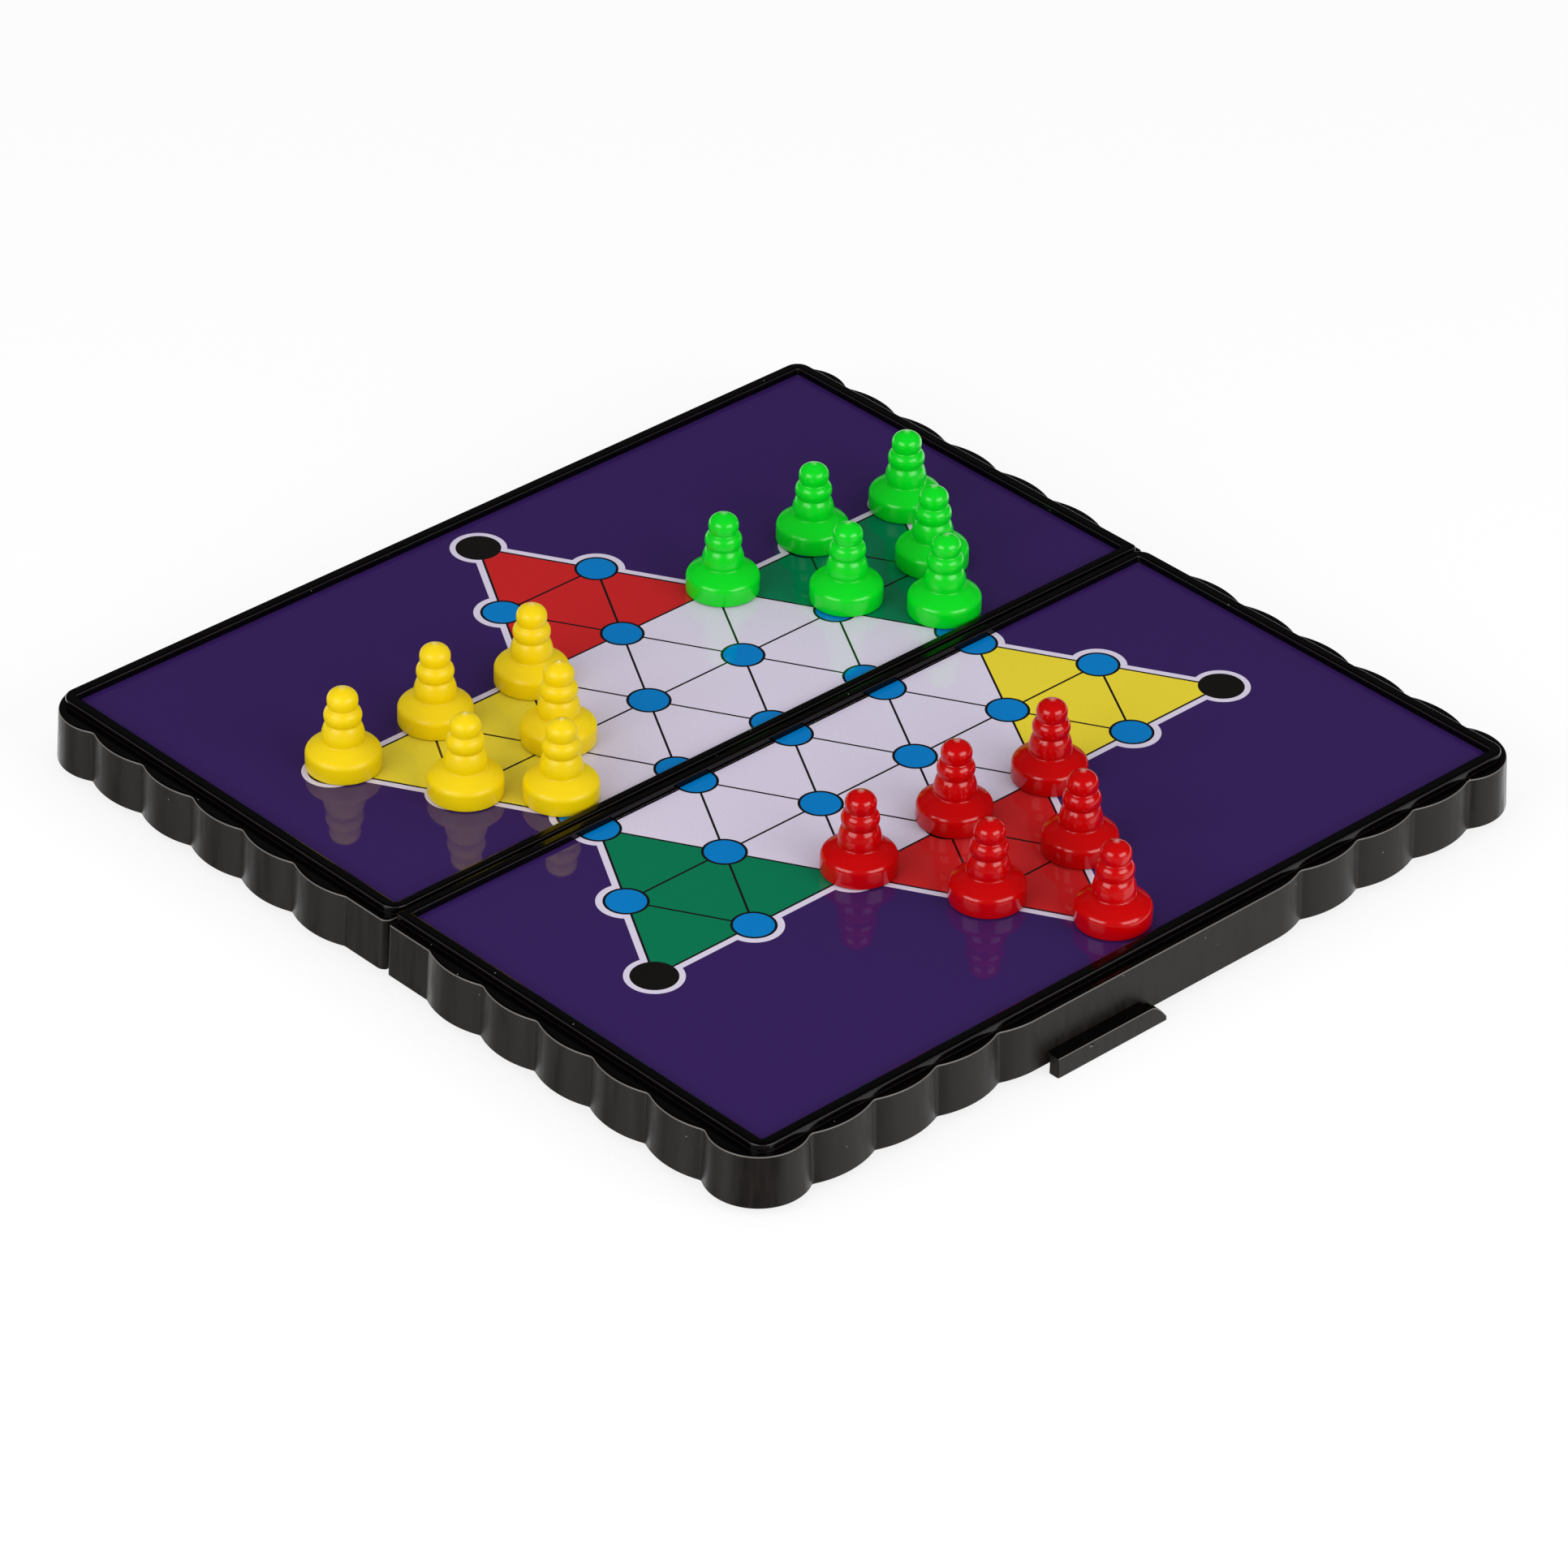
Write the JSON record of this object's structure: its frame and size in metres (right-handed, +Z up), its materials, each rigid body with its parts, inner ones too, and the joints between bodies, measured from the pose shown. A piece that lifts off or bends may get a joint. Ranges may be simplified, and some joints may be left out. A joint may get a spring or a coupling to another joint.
{
  "type": "folding magnetic halma board with pawns",
  "caption": "Flat black case that folds at a hinge, with a printed star board for halma on its two playing faces and small magnetic pawns standing on it.",
  "frame": {"origin": "on the table, straight under the hinge axis, in the middle of the open case", "axes": "+X along the fold, +Y from the front half to the rear half, +Z up"},
  "size_m": [0.1296, 0.134, 0.0198],
  "materials": {
    "case_plastic": "moulded black polystyrene, fine satin grain on the walls, glossier ledge and bead",
    "printed_film": "glossy printed film, purple ground with a star board in pale grey, red, green, yellow and blue",
    "plate_steel": "thin tinned sheet, cut to size",
    "pin_steel": "drawn wire",
    "magnet_ferrite": "pressed ferrite, dull dark grey",
    "yellow_plastic": "glossy moulded polystyrene",
    "green_plastic": "glossy moulded polystyrene",
    "red_plastic": "glossy moulded polystyrene"
  },
  "bodies": {
    "rear_half": {"rear_case_half": "case_plastic", "rear_steel_plate": "plate_steel", "rear_printed_sheet": "printed_film", "rear_hinge_pin": "pin_steel"},
    "front_half": {"front_case_half": "case_plastic", "front_steel_plate": "plate_steel", "front_printed_sheet": "printed_film", "front_hinge_pin": "pin_steel"},
    "yellow_pawn_1": {"yellow_pawn_1": "yellow_plastic", "yellow_magnet_1": "magnet_ferrite"},
    "yellow_pawn_2": {"yellow_pawn_2": "yellow_plastic", "yellow_magnet_2": "magnet_ferrite"},
    "yellow_pawn_3": {"yellow_pawn_3": "yellow_plastic", "yellow_magnet_3": "magnet_ferrite"},
    "yellow_pawn_4": {"yellow_pawn_4": "yellow_plastic", "yellow_magnet_4": "magnet_ferrite"},
    "yellow_pawn_5": {"yellow_pawn_5": "yellow_plastic", "yellow_magnet_5": "magnet_ferrite"},
    "yellow_pawn_6": {"yellow_pawn_6": "yellow_plastic", "yellow_magnet_6": "magnet_ferrite"},
    "green_pawn_1": {"green_pawn_1": "green_plastic", "green_magnet_1": "magnet_ferrite"},
    "green_pawn_2": {"green_pawn_2": "green_plastic", "green_magnet_2": "magnet_ferrite"},
    "green_pawn_3": {"green_pawn_3": "green_plastic", "green_magnet_3": "magnet_ferrite"},
    "green_pawn_4": {"green_pawn_4": "green_plastic", "green_magnet_4": "magnet_ferrite"},
    "green_pawn_5": {"green_pawn_5": "green_plastic", "green_magnet_5": "magnet_ferrite"},
    "green_pawn_6": {"green_pawn_6": "green_plastic", "green_magnet_6": "magnet_ferrite"},
    "red_pawn_1": {"red_pawn_1": "red_plastic", "red_magnet_1": "magnet_ferrite"},
    "red_pawn_2": {"red_pawn_2": "red_plastic", "red_magnet_2": "magnet_ferrite"},
    "red_pawn_3": {"red_pawn_3": "red_plastic", "red_magnet_3": "magnet_ferrite"},
    "red_pawn_4": {"red_pawn_4": "red_plastic", "red_magnet_4": "magnet_ferrite"},
    "red_pawn_5": {"red_pawn_5": "red_plastic", "red_magnet_5": "magnet_ferrite"},
    "red_pawn_6": {"red_pawn_6": "red_plastic", "red_magnet_6": "magnet_ferrite"}
  },
  "joints": [
    {"name": "fold", "type": "hinge", "parent": "rear_half", "child": "front_half", "pos_m": [0, 0, 0.00105], "axis": [1, 0, 0], "range_deg": [0, 180]},
    {"name": "yellow_pawn_1_lift", "type": "slide", "parent": "rear_half", "child": "yellow_pawn_1", "axis": [0, 0, 1], "range_m": [0, 0.03]},
    {"name": "yellow_pawn_2_lift", "type": "slide", "parent": "rear_half", "child": "yellow_pawn_2", "axis": [0, 0, 1], "range_m": [0, 0.03]},
    {"name": "yellow_pawn_3_lift", "type": "slide", "parent": "rear_half", "child": "yellow_pawn_3", "axis": [0, 0, 1], "range_m": [0, 0.03]},
    {"name": "yellow_pawn_4_lift", "type": "slide", "parent": "rear_half", "child": "yellow_pawn_4", "axis": [0, 0, 1], "range_m": [0, 0.03]},
    {"name": "yellow_pawn_5_lift", "type": "slide", "parent": "rear_half", "child": "yellow_pawn_5", "axis": [0, 0, 1], "range_m": [0, 0.03]},
    {"name": "yellow_pawn_6_lift", "type": "slide", "parent": "rear_half", "child": "yellow_pawn_6", "axis": [0, 0, 1], "range_m": [0, 0.03]},
    {"name": "green_pawn_1_lift", "type": "slide", "parent": "rear_half", "child": "green_pawn_1", "axis": [0, 0, 1], "range_m": [0, 0.03]},
    {"name": "green_pawn_2_lift", "type": "slide", "parent": "rear_half", "child": "green_pawn_2", "axis": [0, 0, 1], "range_m": [0, 0.03]},
    {"name": "green_pawn_3_lift", "type": "slide", "parent": "rear_half", "child": "green_pawn_3", "axis": [0, 0, 1], "range_m": [0, 0.03]},
    {"name": "green_pawn_4_lift", "type": "slide", "parent": "rear_half", "child": "green_pawn_4", "axis": [0, 0, 1], "range_m": [0, 0.03]},
    {"name": "green_pawn_5_lift", "type": "slide", "parent": "rear_half", "child": "green_pawn_5", "axis": [0, 0, 1], "range_m": [0, 0.03]},
    {"name": "green_pawn_6_lift", "type": "slide", "parent": "rear_half", "child": "green_pawn_6", "axis": [0, 0, 1], "range_m": [0, 0.03]},
    {"name": "red_pawn_1_lift", "type": "slide", "parent": "front_half", "child": "red_pawn_1", "axis": [0, 0, 1], "range_m": [0, 0.03]},
    {"name": "red_pawn_2_lift", "type": "slide", "parent": "front_half", "child": "red_pawn_2", "axis": [0, 0, 1], "range_m": [0, 0.03]},
    {"name": "red_pawn_3_lift", "type": "slide", "parent": "front_half", "child": "red_pawn_3", "axis": [0, 0, 1], "range_m": [0, 0.03]},
    {"name": "red_pawn_4_lift", "type": "slide", "parent": "front_half", "child": "red_pawn_4", "axis": [0, 0, 1], "range_m": [0, 0.03]},
    {"name": "red_pawn_5_lift", "type": "slide", "parent": "front_half", "child": "red_pawn_5", "axis": [0, 0, 1], "range_m": [0, 0.03]},
    {"name": "red_pawn_6_lift", "type": "slide", "parent": "front_half", "child": "red_pawn_6", "axis": [0, 0, 1], "range_m": [0, 0.03]}
  ]
}
